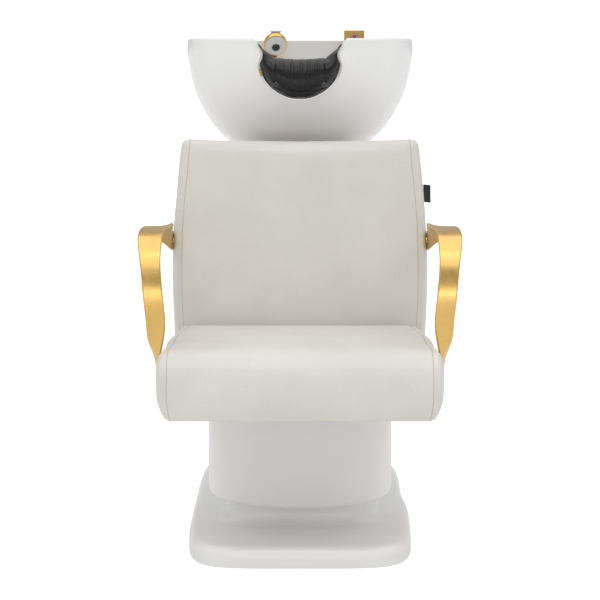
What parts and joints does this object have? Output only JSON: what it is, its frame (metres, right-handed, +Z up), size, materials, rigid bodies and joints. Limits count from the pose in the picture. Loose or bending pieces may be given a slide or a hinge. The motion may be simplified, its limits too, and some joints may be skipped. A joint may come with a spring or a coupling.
{
  "type": "shampoo backwash unit",
  "caption": "Salon backwash unit: upholstered chair with curved armrests on a moulded pedestal that carries a tilting basin with neck rest, mixer tap and hand shower.",
  "frame": {"origin": "on the floor, at the middle of the foot", "axes": "+Z up, -Y the way the sitter faces, +X to the sitter's left"},
  "size_m": [0.617, 1.1437, 1.011],
  "materials": {
    "white_shell": "moulded gloss white",
    "white_basin": "cast gloss white",
    "cream_leather": "soft cream upholstery leather",
    "gold": "satin gold",
    "black_leather": "pleated black",
    "black_fabric": "woven tag",
    "white_plastic": "moulded",
    "pale_plastic": "moulded",
    "dark_plastic": "moulded",
    "indicator": "red and blue dot",
    "plywood": "birch plywood",
    "frame_steel": "powder coat",
    "zinc_steel": "zinc plated",
    "brass_fitting": "machined",
    "chrome_fitting": "polished",
    "waste_plastic": "moulded polypropylene",
    "black_rubber": "moulded",
    "nylon": "machined"
  },
  "bodies": {
    "root": {"floor_plate": "frame_steel", "front_posts": "frame_steel", "rear_posts": "frame_steel", "frame_rails": "frame_steel", "seat_plate": "frame_steel", "tilt_bracket": "frame_steel", "tilt_axle": "zinc_steel", "tilt_washers": "zinc_steel", "tilt_nuts": "zinc_steel", "base_shell": "white_shell", "rear_cover": "white_shell", "cover_screws": "zinc_steel", "inlet_panel": "frame_steel", "cold_inlet": "brass_fitting", "hot_inlet": "brass_fitting", "inlet_nuts": "brass_fitting", "drain_outlet": "waste_plastic", "drain_hose": "waste_plastic", "cold_hose": "chrome_fitting", "hot_hose": "chrome_fitting", "hose_clips": "frame_steel", "seat_board": "plywood", "seat_cushion": "cream_leather", "seat_bolts": "zinc_steel", "back_board": "plywood", "back_cushion": "cream_leather", "back_brackets": "frame_steel", "back_screws": "zinc_steel", "side_tag": "black_fabric", "right_arm": "gold", "left_arm": "gold", "arm_bolts": "gold", "arm_spacers": "gold"},
    "basin": {"basin": "white_basin", "basin_cradle": "frame_steel", "tilt_bushes": "nylon", "cradle_bolts": "zinc_steel", "drain_flange": "chrome_fitting", "drain_gasket": "black_rubber", "drain_locknut": "waste_plastic", "drain_tailpiece": "waste_plastic", "neck_rest": "black_leather", "neck_rest_flap": "black_leather", "neck_rest_snaps": "dark_plastic", "mixer_base_ring": "gold", "mixer_body": "gold", "mixer_locknut": "brass_fitting", "shower_sleeve": "gold", "sleeve_locknut": "brass_fitting", "shower_hose": "chrome_fitting"},
    "mixer_cap": {"mixer_cap": "gold"},
    "mixer_lever": {"mixer_lever": "gold", "mixer_dot": "indicator"},
    "shower": {"shower_handle": "gold", "shower_shell": "gold", "shower_face": "white_plastic", "spray_plate": "dark_plastic"},
    "shower_button": {"shower_button": "pale_plastic"},
    "strainer": {"strainer_basket": "chrome_fitting"}
  },
  "joints": [
    {"name": "basin_tilt", "type": "hinge", "parent": "root", "child": "basin", "pos_m": [0, 0.345, 0.7], "axis": [1, 0, 0], "range_deg": [-8, 12], "deforming": ["drain_hose", "cold_hose", "hot_hose"]},
    {"name": "mixer_turn", "type": "hinge", "parent": "basin", "child": "mixer_cap", "pos_m": [0.127, 0.586, 0.962], "axis": [0, 0, 1], "range_deg": [-50, 50]},
    {"name": "mixer_lift", "type": "hinge", "parent": "mixer_cap", "child": "mixer_lever", "pos_m": [0.127, 0.586, 0.993], "axis": [1, 0, 0], "range_deg": [0, 20]},
    {"name": "shower_pull", "type": "slide", "parent": "basin", "child": "shower", "axis": [0.3221, -0.0672, 0.9443], "range_m": [0, 0.15], "deforming": ["shower_hose"]},
    {"name": "button_press", "type": "slide", "parent": "shower", "child": "shower_button", "axis": [0, 0, -1], "range_m": [0, 0.003], "stiffness_N_per_m": 400},
    {"name": "strainer_lift", "type": "slide", "parent": "basin", "child": "strainer", "axis": [0, 0, 1], "range_m": [0, 0.08]}
  ]
}
